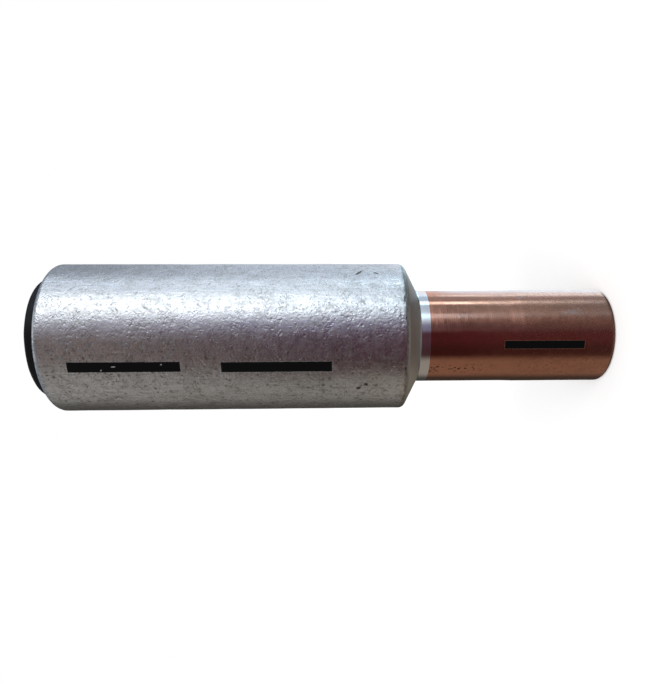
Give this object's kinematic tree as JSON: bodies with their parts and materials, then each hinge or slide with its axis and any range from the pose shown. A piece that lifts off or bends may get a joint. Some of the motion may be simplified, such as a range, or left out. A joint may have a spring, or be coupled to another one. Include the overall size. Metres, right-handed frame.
{
  "type": "bimetal splice sleeve",
  "caption": "Compression sleeve of a fat aluminium barrel friction welded to a slimmer copper barrel, to join an aluminium conductor to a copper one.",
  "frame": {"origin": "centre of the copper barrel's open end face, which the sleeve stands on", "axes": "+Z along the sleeve's axis, from the copper end up to the plugged aluminium end; -Y faces the side with the crimp bars"},
  "size_m": [0.02, 0.02, 0.0759],
  "materials": {
    "aluminium": "tumbled and satin, with a bright turned neck",
    "copper": "copper: bright turned stretch beside the weld, duller stock beyond",
    "plug": "black moulded polyethylene",
    "compound": "grey contact grease"
  },
  "bodies": {
    "sleeve": {"aluminium_barrel": "aluminium", "copper_barrel": "copper", "jointing_compound": "compound"},
    "plug": {"end_plug": "plug"}
  },
  "joints": [
    {"name": "plug_pull", "type": "slide", "parent": "sleeve", "child": "plug", "axis": [0, 0, 1], "range_m": [0, 0.02]}
  ]
}
